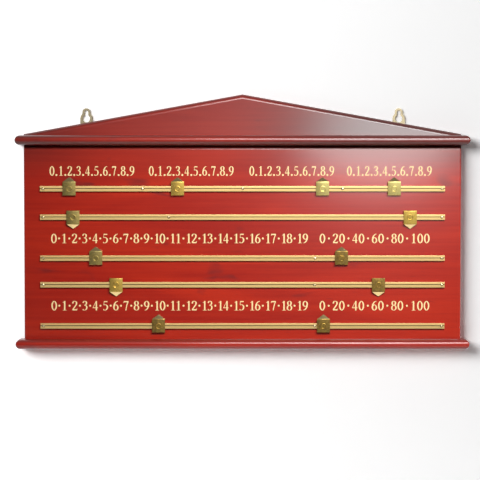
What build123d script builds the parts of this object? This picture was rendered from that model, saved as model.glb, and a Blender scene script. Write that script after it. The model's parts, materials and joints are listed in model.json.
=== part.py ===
from build123d import *
import os
from math import atan, cos, degrees, sin, tan, tau

# Wall-hung snooker scoreboard: a lacquered board, five brass rails and twelve sliding pointers.
# Millimetres, Z up, X to the right, the front faces -Y and the back lies on the wall at y = 0.
# The origin is midway between the head holes of the two hanging keyholes, on the wall.
# The many small turned pieces have flat sides in place of round ones, which keeps the part light.

# Main sizes
PANEL_WIDTH = 771.0
PANEL_HEIGHT = 342.0
PANEL_THICKNESS = 18.0

# Boards
PANEL_EDGE_RADIUS = 3.0  # front corners of the two ends
MOULDING_THICKNESS = 17.3
MOULDING_OVERHANG = 14.0  # past the panel at both ends
MOULDING_PROJECTION = 18.0  # in front of the panel
PEDIMENT_RISE = 72.3  # apex above the top moulding
PEDIMENT_END_HEIGHT = 2.6
PEDIMENT_EDGE_RADIUS = 8.5  # front edge along both slopes

# Splines: loose wooden strips in stopped grooves, which join the boards edge to edge
SPLINE_THICKNESS = 6.0
SPLINE_SEAT = 10.0  # depth in the panel and in the pediment
MOULDING_SEAT = 6.0  # depth in a moulding
SPLINE_MARGIN = 64.0  # panel left whole past each end
HANGER_MARGIN = 6.0  # pediment left whole beside each hanging plate
SPLINE_GLUE_GAP = 0.05
SPLINE_END_GAP = 0.5

# Rails: a T section with its stem against the panel and a groove along its crowned face
RAIL_ROWS = (0.224, 0.3705, 0.5819, 0.7193, 0.9322)  # below the panel's top, in panel heights
RAIL_MARGIN = 29.0  # panel left free past each end
RAIL_HEIGHT = 9.8
RAIL_FACE_THICKNESS = 1.8
RAIL_STEM_HEIGHT = 7.4
RAIL_STANDOFF = 2.2  # gap behind the flanges
RAIL_FACE_FALL = 0.3  # the face falls this much from its crown to each edge
RAIL_EDGE_BEVEL = 0.4
GROOVE_WIDTH = 1.2
GROOVE_DEPTH = 0.5
GROOVE_RISE = 0.5  # groove above the centre line

# Rail screws: slotted, raised countersunk
END_SCREW_INSET = 5.15
INNER_SCREWS = ((-0.2283, 0.0, 0.2285), (-0.1687,), (0.1656,), (0.165,), (0.165,))  # in panel widths
SCREW_SIDES = 16
HEAD_RADIUS = 3.95
HEAD_RIM_DEPTH = 1.35  # rim below the rail's crown
HEAD_DOME = 2.1
HEAD_TOP_RADIUS = 2.0
SLOT_WIDTH = 1.1
SLOT_DEPTH = 1.3
SHANK_RADIUS = 2.0
SCREW_REACH = 12.0  # depth in the panel
SCREW_POINT = 4.0
SCREW_TIP_RADIUS = 0.4
SHANK_CLEARANCE = 0.2  # hole in the rail
PILOT_CLEARANCE = 0.05
PILOT_EXTRA_DEPTH = 0.5
SEAT_GAP = 0.05
SLOT_TURN = 67.0  # each screw stopped at another angle

# Pointers, by rail: centres at rest in panel widths, and whether the tongue points up
POINTER_PLACES = (
    (-0.3956, -0.1482, 0.1828, 0.3464),
    (-0.387, 0.3829),
    (-0.3353, 0.2263),
    (-0.2891, 0.3109),
    (-0.1922, 0.1853),
)
POINTS_UP = (True, False, True, False, True)
PLATE_WIDTH = 22.8
PLATE_HEIGHT = 23.6  # folded edge to tongue bend
PLATE_THICKNESS = 1.0
PLATE_BEND = 1.5  # outside radius of the bends
PLATE_PANEL_GAP = 1.2
TONGUE_BASE = 21.4
TONGUE_LENGTH = 8.5  # seen from the front
TONGUE_SHOULDER = 0.7
TONGUE_TIP_RADIUS = 1.3
TONGUE_PANEL_GAP = 1.2

# Pointer shoe: a channel round the rail's flanges
SHOE_LENGTH = 20.0
SHOE_THICKNESS = 0.8
SHOE_CLEARANCE = 0.3

# Pointer rivet: a ring-shaped head over a shank through plate and shoe
RING_SIDES = 20
RING_RADIUS = 5.1
RING_CREST_RADII = (4.7, 4.4)
RING_BORE_RADIUS = 3.6
RING_HEIGHT = 0.7
RING_FLOOR = 0.25
RIVET_SIDES = 10
RIVET_RADIUS = 2.0
RIVET_CLEARANCE = 0.05

# Hanging plates
HANGER_SPACING = 552.0
HANGER_THICKNESS = 2.0
HANGER_HEAD_LOBE_RADIUS = 10.8
HANGER_SLOT_LOBE_RADIUS = 6.9
HANGER_WAIST_RADIUS = 4.0
HANGER_FOOT_GAP = 2.0  # above the top moulding
HANGER_FIT = 0.3  # round the plate in its rebate
KEYHOLE_HEAD_RADIUS = 6.4
KEYHOLE_SLOT_WIDTH = 6.6
KEYHOLE_SLOT_RISE = 11.6  # slot end above the head hole
KEYHOLE_SLOPE_GAP = 0.7  # head hole clear of the slope
HANGER_SCREW_PITCH = 11.0
HANGER_SCREW_EDGE = 6.0  # above the plate's foot
HANGER_SCREW_SIDES = 8
HANGER_SCREW_RADIUS = 1.5
HANGER_SCREW_HEAD_RADIUS = 2.9
HANGER_SCREW_LENGTH = 12.0
HANGER_SCREW_TIP_RADIUS = 0.4
HANGER_SCREW_SINK = 0.1  # head below the plate's back
HANGER_SLOT_WIDTH = 0.8
HANGER_SLOT_DEPTH = 0.7

# Worked out from the sizes above
MOULDING_LENGTH = PANEL_WIDTH + 2 * MOULDING_OVERHANG
MOULDING_DEPTH = PANEL_THICKNESS + MOULDING_PROJECTION
SLOPE = atan((PEDIMENT_RISE - PEDIMENT_END_HEIGHT) / (PANEL_WIDTH / 2))
SLOPE_AT_HANGER = PEDIMENT_END_HEIGHT + (PANEL_WIDTH - HANGER_SPACING) / 2 * tan(SLOPE)
MOULDING_TOP = -SLOPE_AT_HANGER - (KEYHOLE_HEAD_RADIUS + KEYHOLE_SLOPE_GAP) / cos(SLOPE)
PANEL_TOP = MOULDING_TOP - MOULDING_THICKNESS
PANEL_BOTTOM = PANEL_TOP - PANEL_HEIGHT
PANEL_SPLINE = PANEL_WIDTH - 2 * SPLINE_MARGIN
PEDIMENT_SPLINE = HANGER_SPACING - 2 * (HANGER_HEAD_LOBE_RADIUS + HANGER_MARGIN)
RAIL_LENGTH = PANEL_WIDTH - 2 * RAIL_MARGIN
RAIL_CROWN = RAIL_STANDOFF + RAIL_FACE_THICKNESS
RAIL_LEVELS = [PANEL_TOP - share * PANEL_HEIGHT for share in RAIL_ROWS]
HEAD_RIM = RAIL_CROWN - HEAD_RIM_DEPTH
HEAD_TOP = HEAD_RIM + HEAD_DOME
SHOE_WEB = RAIL_CROWN + SHOE_CLEARANCE
PLATE_BACK = SHOE_WEB + SHOE_THICKNESS
PLATE_FRONT = PLATE_BACK + PLATE_THICKNESS
HANGER_FOOT = MOULDING_TOP + HANGER_FOOT_GAP
HANGER_SCREW_LEVEL = HANGER_FOOT + HANGER_SCREW_EDGE
HANGERS = (-HANGER_SPACING / 2, HANGER_SPACING / 2)
PAST = 1.0  # how far a cut runs out past a face
WHOLE = PANEL_WIDTH + PANEL_HEIGHT  # more than any piece reaches


def facing(level, x=0.0, z=0.0):
    """A plane that faces the front, this far in front of the wall."""
    return Plane((x, -level, z), x_dir=(1, 0, 0), z_dir=(0, -1, 0))


def across_rail(z=0.0):
    """A plane across the rails: local x is the height in front of the panel, local y is up."""
    return Plane((0, -PANEL_THICKNESS, z), x_dir=(0, -1, 0), z_dir=(-1, 0, 0))


def stacked(profile, sides, x=0.0, z=0.0, level=PANEL_THICKNESS):
    """A many-sided solid through (height in front of level, corner radius) points."""
    turns = [tau * i / sides for i in range(sides)]
    rings = []
    for height, radius in profile:
        plane = facing(level + height, x, z)
        rings.append([plane.from_local_coords((radius * cos(turn), radius * sin(turn))) for turn in turns])
    flats = [rings[0], rings[-1]]
    for low, high in zip(rings, rings[1:]):
        flats += [[low[i - 1], low[i], high[i], high[i - 1]] for i in range(sides)]
    return Solid(Shell([Face(Wire.make_polygon(flat)) for flat in flats]))


def moulding(top):
    """A full-depth board with a full bullnose along its front and round both ends."""
    radius = MOULDING_THICKNESS / 2
    middle = top - radius
    flat = MOULDING_DEPTH - radius
    side = Plane((0, 0, middle), x_dir=(0, -1, 0), z_dir=(-1, 0, 0))
    front_round = Pos(flat / 2, 0) * Rectangle(flat, MOULDING_THICKNESS) + Pos(flat, 0) * Circle(radius)
    long_board = extrude(side * front_round, MOULDING_LENGTH / 2, both=True)
    end_round = facing(0, z=middle) * SlotOverall(MOULDING_LENGTH, MOULDING_THICKNESS)
    return long_board & extrude(end_round, MOULDING_DEPTH)


def spline(length, bottom, top, gap=0.0, end_gap=0.0):
    """A strip in the middle of the boards' thickness, or its groove where the gaps are given."""
    size = (length + 2 * end_gap, SPLINE_THICKNESS + 2 * gap, top - bottom + 2 * end_gap)
    return Pos(0, -PANEL_THICKNESS / 2, (bottom + top) / 2) * Box(*size)


def splines(gap=0.0, end_gap=0.0):
    """The three strips, from the top down."""
    fits = (gap, end_gap)
    return {
        "pediment_spline": spline(
            PEDIMENT_SPLINE, MOULDING_TOP - MOULDING_SEAT, MOULDING_TOP + SPLINE_SEAT, *fits
        ),
        "panel_spline": spline(PANEL_SPLINE, PANEL_TOP - SPLINE_SEAT, PANEL_TOP + MOULDING_SEAT, *fits),
        "foot_spline": spline(PANEL_SPLINE, PANEL_BOTTOM - MOULDING_SEAT, PANEL_BOTTOM + SPLINE_SEAT, *fits),
    }


def grooves():
    """The room that the strips take in the boards."""
    return list(splines(SPLINE_GLUE_GAP, SPLINE_END_GAP).values())


def slope_roof(side):
    """Half of the space under the pediment's slopes, with the rounded front edge."""
    cross = Plane.YZ * Pos(-PANEL_THICKNESS / 2, -WHOLE / 2) * Rectangle(PANEL_THICKNESS, WHOLE)
    front_top = cross.vertices().group_by(Axis.Z)[-1].sort_by(Axis.Y)[0]
    roof = extrude(fillet(front_top, PEDIMENT_EDGE_RADIUS), WHOLE, both=True)
    apex = Pos(0, 0, MOULDING_TOP + PEDIMENT_RISE)
    tilted = apex * Rot(0, side * degrees(SLOPE), 0) * roof
    half = apex * Pos(side * WHOLE / 2) * Box(WHOLE, WHOLE, WHOLE)
    return tilted & half


def pediment():
    """The triangular board, with rebates for the hanging plates and their pilot holes."""
    half = PANEL_WIDTH / 2
    end = PEDIMENT_END_HEIGHT
    outline = Polyline((-half, 0), (half, 0), (half, end), (0, PEDIMENT_RISE), (-half, end), close=True)
    board = extrude(facing(0, z=MOULDING_TOP) * make_face(outline), PANEL_THICKNESS)
    board = board & (slope_roof(-1) + slope_roof(1))
    for x in HANGERS:
        board -= extrude(facing(0, x) * hanger_outline(HANGER_FIT), HANGER_THICKNESS)
    return board - hanger_screw_holes() - grooves()


def main_panel():
    """The flat board, with a pilot hole behind every rail screw."""
    outline = Pos(0, -PANEL_THICKNESS / 2) * Rectangle(PANEL_WIDTH, PANEL_THICKNESS)
    outline = fillet(outline.vertices().group_by(Axis.Y)[0], PANEL_EDGE_RADIUS)
    board = extrude(Pos(0, 0, PANEL_BOTTOM) * outline, PANEL_HEIGHT)
    radius = SHANK_RADIUS + PILOT_CLEARANCE
    pilot = [(-SCREW_REACH - PILOT_EXTRA_DEPTH, radius), (PAST, radius)]
    pilots = [
        stacked(pilot, SCREW_SIDES, x, level)
        for row, level in enumerate(RAIL_LEVELS)
        for x in screw_places(row)
    ]
    return board - pilots - grooves()


def screw_places(row):
    """Where the screws of a rail stand along it."""
    end = RAIL_LENGTH / 2 - END_SCREW_INSET
    return [-end, *[share * PANEL_WIDTH for share in INNER_SCREWS[row]], end]


def rail(row):
    """A T-section rail. Its countersinks break out through its edges, and the outer two through its ends."""
    half, stem, back = RAIL_HEIGHT / 2, RAIL_STEM_HEIGHT / 2, RAIL_STANDOFF
    edge = RAIL_CROWN - RAIL_FACE_FALL
    groove_low, groove_high = GROOVE_RISE - GROOVE_WIDTH / 2, GROOVE_RISE + GROOVE_WIDTH / 2
    groove_floor = RAIL_CROWN - GROOVE_DEPTH
    stem_and_back = [(0, -stem), (back, -stem), (back, -half), (edge, -half)]
    groove = [(RAIL_CROWN, groove_low), (groove_floor, GROOVE_RISE), (RAIL_CROWN, groove_high)]
    points = stem_and_back + groove + [(height, -z) for height, z in reversed(stem_and_back)]
    section = make_face(Polyline(*points, close=True))
    corners = section.vertices().filter_by(lambda v: v.X == edge)
    section = chamfer(corners, RAIL_EDGE_BEVEL)
    bar = extrude(across_rail(RAIL_LEVELS[row]) * section, RAIL_LENGTH / 2, both=True)
    return bar - [countersink(x, RAIL_LEVELS[row]) for x in screw_places(row)]


def countersink(x, z):
    """The 90-degree countersink and shank hole, cut from past the crown to the panel."""
    shank = SHANK_RADIUS + SHANK_CLEARANCE
    rim = HEAD_RADIUS + HEAD_RIM_DEPTH + SEAT_GAP
    seat = RAIL_CROWN - (rim - shank)
    return stacked([(-PAST, shank), (seat, shank), (RAIL_CROWN + PAST, rim + PAST)], SCREW_SIDES, x, z)


def rail_screw(x, z, turn):
    """A slotted screw with a raised countersunk head, its rim sunk in the countersink."""
    neck = HEAD_RIM - (HEAD_RADIUS - SHANK_RADIUS)
    profile = [
        (-SCREW_REACH, SCREW_TIP_RADIUS), (SCREW_POINT - SCREW_REACH, SHANK_RADIUS), (neck, SHANK_RADIUS),
        (HEAD_RIM, HEAD_RADIUS), (HEAD_TOP, HEAD_TOP_RADIUS),
    ]
    slot = Box(2 * HEAD_RADIUS + 2 * PAST, 2 * SLOT_DEPTH, SLOT_WIDTH)
    slot = Pos(x, -PANEL_THICKNESS - HEAD_TOP, z) * Rot(0, turn, 0) * slot
    return stacked(profile, SCREW_SIDES, x, z) - slot


def rail_screws(row):
    """The screws of one rail."""
    level = RAIL_LEVELS[row]
    return [rail_screw(x, level, SLOT_TURN * (row + i)) for i, x in enumerate(screw_places(row))]


def pointer_plate():
    """The folded plate at the middle of the board, tongue up: lower edge folded back, tongue bent back."""
    low, bend, tip = -PLATE_HEIGHT / 2, PLATE_HEIGHT / 2, PLATE_HEIGHT / 2 + TONGUE_LENGTH
    half_sheet = PLATE_THICKNESS / 2
    middle = PLATE_FRONT - half_sheet
    centre_line = Polyline(
        (PLATE_PANEL_GAP, low + half_sheet), (middle, low + half_sheet), (middle, bend),
        (TONGUE_PANEL_GAP + half_sheet, tip),
    )
    section = trace(centre_line, PLATE_THICKNESS)
    section = fillet(section.vertices().group_by(Axis.X)[-1], PLATE_BEND)
    sheet = extrude(across_rail() * section, PLATE_WIDTH / 2, both=True)
    half, base, shoulder = PLATE_WIDTH / 2, TONGUE_BASE / 2, bend + TONGUE_SHOULDER
    right = [(half, low - PAST), (half, bend), (base, shoulder)]
    points = right + [(0, tip)] + [(-x, z) for x, z in reversed(right)]
    outline = make_face(Polyline(*points, close=True))
    outline = fillet(outline.vertices().group_by(Axis.Y)[-1], TONGUE_TIP_RADIUS)
    return (sheet & extrude(facing(PANEL_THICKNESS) * outline, PLATE_FRONT + PAST)) - rivet_hole()


def pointer_shoe():
    """A channel that wraps the rail's flanges, with its lips in the gap behind them."""
    inner = RAIL_HEIGHT / 2 + SHOE_CLEARANCE
    outer = inner + SHOE_THICKNESS
    lip_front = RAIL_STANDOFF - SHOE_CLEARANCE
    lip_back = lip_front - SHOE_THICKNESS
    lip_end = RAIL_STEM_HEIGHT / 2 + SHOE_CLEARANCE
    outside = [(PLATE_BACK, outer), (lip_back, outer)]
    upper = outside + [(lip_back, lip_end), (lip_front, lip_end), (lip_front, inner), (SHOE_WEB, inner)]
    section = make_face(Polyline(*upper, *[(height, -z) for height, z in reversed(upper)], close=True))
    corners = section.vertices().filter_by(lambda v: abs(v.Y) == outer)
    section = chamfer(corners, SHOE_THICKNESS / 2)
    return extrude(across_rail() * section, SHOE_LENGTH / 2, both=True) - rivet_hole()


def rivet_hole():
    """The hole for the rivet, through shoe and plate."""
    radius = RIVET_RADIUS + RIVET_CLEARANCE
    return stacked([(SHOE_WEB - PAST, radius), (PLATE_FRONT + PAST, radius)], RIVET_SIDES)


def pointer_rivet():
    """A rivet whose head is a raised ring round a sunk floor."""
    front, crest, floor = PLATE_FRONT, PLATE_FRONT + RING_HEIGHT, PLATE_FRONT + RING_FLOOR
    outer_crest, inner_crest = RING_CREST_RADII
    head = stacked([(front, RING_RADIUS), (crest, outer_crest)], RING_SIDES)
    dish = stacked([(floor, RING_BORE_RADIUS), (crest, inner_crest)], RING_SIDES)
    return (head - dish) + stacked([(SHOE_WEB, RIVET_RADIUS), (front, RIVET_RADIUS)], RIVET_SIDES)


def hanger_outline(growth=0.0):
    """The plate's outline: a small lobe over a large one, then straight sides down to the foot."""
    head, slot = HANGER_HEAD_LOBE_RADIUS, HANGER_SLOT_LOBE_RADIUS
    foot = Pos(0, HANGER_FOOT / 2) * Rectangle(2 * head, -HANGER_FOOT)
    outline = Circle(head) + Pos(0, KEYHOLE_SLOT_RISE) * Circle(slot) + foot
    waist = outline.vertices().filter_by(lambda v: 0 < v.Y < KEYHOLE_SLOT_RISE)
    outline = fillet(waist, HANGER_WAIST_RADIUS)
    return offset(outline, growth) if growth else outline


def hanging_plates():
    """The two keyhole plates: head hole, hanging slot and two countersunk screw holes in each."""
    rise = KEYHOLE_SLOT_RISE
    keyhole = Circle(KEYHOLE_HEAD_RADIUS) + Pos(0, rise / 2) * Rectangle(KEYHOLE_SLOT_WIDTH, rise)
    keyhole += Pos(0, rise) * Circle(KEYHOLE_SLOT_WIDTH / 2)
    plate = hanger_outline() - keyhole
    holes = hanger_screw_holes()
    return [extrude(facing(0, x) * plate, HANGER_THICKNESS) - holes for x in HANGERS]


def hanger_screw_places():
    """Where the plates' small screws stand along the pediment."""
    half_pitch = HANGER_SCREW_PITCH / 2
    return [x + side * half_pitch for x in HANGERS for side in (-1, 1)]


def hanger_screw_holes():
    """Countersinks through the plates and pilot holes in the pediment, from the wall's side."""
    radius, head = HANGER_SCREW_RADIUS + PILOT_CLEARANCE, HANGER_SCREW_HEAD_RADIUS + PILOT_CLEARANCE
    neck = HANGER_SCREW_SINK + head - radius
    bottom = HANGER_SCREW_LENGTH + PILOT_EXTRA_DEPTH
    profile = [(bottom, radius), (neck, radius), (HANGER_SCREW_SINK, head), (-PAST, head)]
    return [stacked(profile, HANGER_SCREW_SIDES, x, HANGER_SCREW_LEVEL, 0) for x in hanger_screw_places()]


def hanger_screws():
    """The four small slotted screws of the hanging plates."""
    neck = HANGER_SCREW_SINK + HANGER_SCREW_HEAD_RADIUS - HANGER_SCREW_RADIUS
    profile = [
        (HANGER_SCREW_LENGTH, HANGER_SCREW_TIP_RADIUS), (neck, HANGER_SCREW_RADIUS),
        (HANGER_SCREW_SINK, HANGER_SCREW_HEAD_RADIUS),
    ]
    slot = Box(2 * (HANGER_SCREW_HEAD_RADIUS + PAST), 2 * HANGER_SLOT_DEPTH, HANGER_SLOT_WIDTH)
    screws = []
    for i, x in enumerate(hanger_screw_places()):
        screw = stacked(profile, HANGER_SCREW_SIDES, x, HANGER_SCREW_LEVEL, 0)
        place = Pos(x, -HANGER_SCREW_SINK, HANGER_SCREW_LEVEL) * Rot(0, SLOT_TURN * i, 0)
        screws.append(screw - place * slot)
    return screws


def board_parts():
    """Every piece that is fixed to the wall, by name."""
    parts = {
        "main_panel": main_panel(),
        "pediment": pediment(),
        "top_moulding": moulding(MOULDING_TOP) - grooves(),
        "bottom_moulding": moulding(PANEL_BOTTOM) - grooves(),
        "hanging_plates": Compound(hanging_plates()),
        "hanger_screws": Compound(hanger_screws()),
        **splines(),
    }
    for row in range(len(RAIL_ROWS)):
        parts[f"rail_{row + 1}"] = rail(row)
        parts[f"rail_{row + 1}_screws"] = Compound(rail_screws(row))
    return parts


def pointer_parts():
    """Every pointer, made once and set on its rail, tongue up or down."""
    pieces = {"plate": pointer_plate(), "shoe": pointer_shoe(), "rivet": pointer_rivet()}
    parts = {}
    for row, places in enumerate(POINTER_PLACES):
        turn = 0 if POINTS_UP[row] else 180
        for letter, share in zip("abcd", places):
            place = Pos(share * PANEL_WIDTH, 0, RAIL_LEVELS[row]) * Rot(0, turn, 0)
            for kind, piece in pieces.items():
                parts[f"pointer_{row + 1}{letter}_{kind}"] = place * piece
    return parts


os.makedirs("parts", exist_ok=True)
for node, shape in {**board_parts(), **pointer_parts()}.items():
    export_step(shape, f"parts/{node}.step")
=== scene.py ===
"""Looks of a wall-hung snooker scoreboard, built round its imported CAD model.

Lengths in dataclass fields are in millimetres, apart from the lamps', which are in metres. Meshes are made in
metres, in the model's own frame: X to the right, Y into the wall, Z up, the origin midway between the two
hanging keyholes.
"""

import json
import logging
import math
from dataclasses import dataclass, field
from enum import Enum
from typing import Callable, Iterable, Sequence, Union

import bmesh
import bpy
from mathutils import Matrix, Vector
from mathutils.geometry import delaunay_2d_cdt

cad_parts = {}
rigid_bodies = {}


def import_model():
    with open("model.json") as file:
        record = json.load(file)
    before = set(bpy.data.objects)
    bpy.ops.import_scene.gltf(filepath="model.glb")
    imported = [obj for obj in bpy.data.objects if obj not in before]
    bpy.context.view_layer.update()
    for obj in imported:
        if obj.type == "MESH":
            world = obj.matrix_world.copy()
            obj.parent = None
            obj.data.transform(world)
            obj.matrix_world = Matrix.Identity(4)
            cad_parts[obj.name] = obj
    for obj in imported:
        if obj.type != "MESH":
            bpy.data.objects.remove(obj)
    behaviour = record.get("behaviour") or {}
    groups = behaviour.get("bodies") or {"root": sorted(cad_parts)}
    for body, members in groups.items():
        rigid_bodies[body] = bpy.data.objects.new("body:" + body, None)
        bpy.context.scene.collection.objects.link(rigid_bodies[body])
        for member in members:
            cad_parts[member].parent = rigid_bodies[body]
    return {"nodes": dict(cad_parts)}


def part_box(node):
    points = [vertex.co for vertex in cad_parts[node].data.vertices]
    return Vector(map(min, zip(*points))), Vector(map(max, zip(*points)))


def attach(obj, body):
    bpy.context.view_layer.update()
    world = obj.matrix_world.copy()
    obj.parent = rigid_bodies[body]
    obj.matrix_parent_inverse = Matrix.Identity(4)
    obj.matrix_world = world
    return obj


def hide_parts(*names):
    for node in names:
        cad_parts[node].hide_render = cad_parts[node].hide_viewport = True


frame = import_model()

MM = 0.001
PANEL_FACE = 18.0
BOARD_BODY = "board"
SMOOTH_ANGLE = math.radians(32)
SAME_PLACE = 1e-7
SLOT_REACH = 0.05
DOT_GLYPH = 10

Colour = tuple[float, float, float]
Point2 = tuple[float, float]
Number = Union[float, "Wire"]

log = logging.getLogger("scoreboard")


class Wire:
    """A number in a node tree, extended with Math nodes by Python's operators."""

    def __init__(self, graph: "Graph", socket: bpy.types.NodeSocket) -> None:
        """Keeps the tree and the output that carries the number."""
        self.graph = graph
        self.socket = socket

    def __add__(self, other: Number) -> "Wire":
        """Sum."""
        return self.graph.maths("ADD", self, other)

    def __sub__(self, other: Number) -> "Wire":
        """Difference."""
        return self.graph.maths("SUBTRACT", self, other)

    def __rsub__(self, other: Number) -> "Wire":
        """Difference from a plain number."""
        return self.graph.maths("SUBTRACT", other, self)

    def __mul__(self, other: Number) -> "Wire":
        """Product."""
        return self.graph.maths("MULTIPLY", self, other)

    def __truediv__(self, other: Number) -> "Wire":
        """Quotient."""
        return self.graph.maths("DIVIDE", self, other)

    __radd__ = __add__
    __rmul__ = __mul__

    def step(self, low: float, high: float) -> "Wire":
        """A smooth step from 0 at low to 1 at high.

        Args:
            low: Where the step starts.
            high: Where it ends; below low for a falling step.

        Returns:
            The stepped number.
        """
        ends = {1: low, 2: high, 3: 0.0, 4: 1.0} if low < high else {1: high, 2: low, 3: 1.0, 4: 0.0}
        return self.graph.wire("ShaderNodeMapRange", {"interpolation_type": "SMOOTHSTEP"}, {0: self, **ends})


class Graph:
    """A node tree, shader or geometry, with one way to add a node."""

    def __init__(self, tree: bpy.types.NodeTree) -> None:
        """Keeps the tree, emptied."""
        self.tree = tree
        tree.nodes.clear()

    def node(self, kind: str, settings: dict | None = None, inputs: dict | None = None) -> bpy.types.Node:
        """Adds a node.

        Args:
            kind: The node's type.
            settings: Its properties, set first.
            inputs: Values or links by socket name or number.

        Returns:
            The node.
        """
        made = self.tree.nodes.new(kind)
        for name, value in (settings or {}).items():
            setattr(made, name, value)
        for name, value in (inputs or {}).items():
            self.feed(made.inputs[name], value)
        return made

    def wire(self, kind: str, settings: dict | None = None, inputs: dict | None = None, out: str | int = 0) -> Wire:
        """Adds a node and gives one of its outputs, for sums."""
        return Wire(self, self.node(kind, settings, inputs).outputs[out])

    def feed(self, socket: bpy.types.NodeSocket, value: object) -> None:
        """Links a wire or an output to the socket, or sets its value."""
        if isinstance(value, Wire):
            self.tree.links.new(value.socket, socket)
        elif isinstance(value, bpy.types.NodeSocket):
            self.tree.links.new(value, socket)
        elif isinstance(value, tuple) and socket.type == "RGBA":
            socket.default_value = (*value, 1.0)
        else:
            socket.default_value = value

    def maths(self, operation: str, *values: Number) -> Wire:
        """Adds a Math node over numbers and wires."""
        return self.wire("ShaderNodeMath", {"operation": operation}, dict(enumerate(values)))

    def split(self, vector: object) -> tuple[Wire, ...]:
        """The three coordinates of a vector."""
        return tuple(Wire(self, part) for part in self.node("ShaderNodeSeparateXYZ", {}, {0: vector}).outputs)

    def joined(self, x: Number = 0.0, y: Number = 0.0, z: Number = 0.0) -> Wire:
        """A vector from its three coordinates."""
        return self.wire("ShaderNodeCombineXYZ", {}, {"X": x, "Y": y, "Z": z})

    def rays(self) -> tuple[Wire, Wire]:
        """1 for a ray from the camera, and 1 for a ray off something glossy."""
        path = self.node("ShaderNodeLightPath").outputs
        return Wire(self, path["Is Camera Ray"]), Wire(self, path["Is Glossy Ray"])


class ShaderGraph(Graph):
    """The shader tree of one material."""

    def __init__(self, name: str) -> None:
        """Makes the material with an empty tree."""
        self.material = bpy.data.materials.new(name)
        self.material.use_nodes = True
        super().__init__(self.material.node_tree)
        self.place = self.node("ShaderNodeTexCoord").outputs["Object"]

    def noise(self, waves: Colour, detail: float, rough: float = 0.5, warp: float = 0.0) -> Wire:
        """Noise over stretched object coordinates.

        Args:
            waves: Waves per metre along each axis.
            detail: Octaves.
            rough: How strong the fine octaves are.
            warp: How far the noise bends itself.

        Returns:
            The noise, about 0.5 in the middle.
        """
        place = self.wire("ShaderNodeMapping", {}, {"Vector": self.place, "Scale": waves})
        sockets = {"Vector": place, "Scale": 1.0, "Detail": detail, "Roughness": rough, "Distortion": warp}
        return self.wire("ShaderNodeTexNoise", {}, sockets)

    def blend(self, share: Number, first: object, second: object) -> Wire:
        """Mixes two colours, the second by the given share."""
        return self.wire("ShaderNodeMix", {"data_type": "RGBA"}, {0: share, 6: first, 7: second}, 2)

    def relief(self, height: Wire, distance: float) -> Wire:
        """A bumped normal, the distance in metres."""
        return self.wire("ShaderNodeBump", {}, {"Height": height, "Distance": distance, "Strength": 1.0})

    def surface(self, **sockets: object) -> bpy.types.Material:
        """Ends the tree in a Principled shader.

        Args:
            **sockets: Values or links, by the socket's name with underscores for its spaces.

        Returns:
            The finished material.
        """
        named = {name.replace("_", " "): value for name, value in sockets.items()}
        shader = self.node("ShaderNodeBsdfPrincipled", {}, named)
        self.node("ShaderNodeOutputMaterial", {}, {"Surface": shader.outputs[0]})
        return self.material


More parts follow.
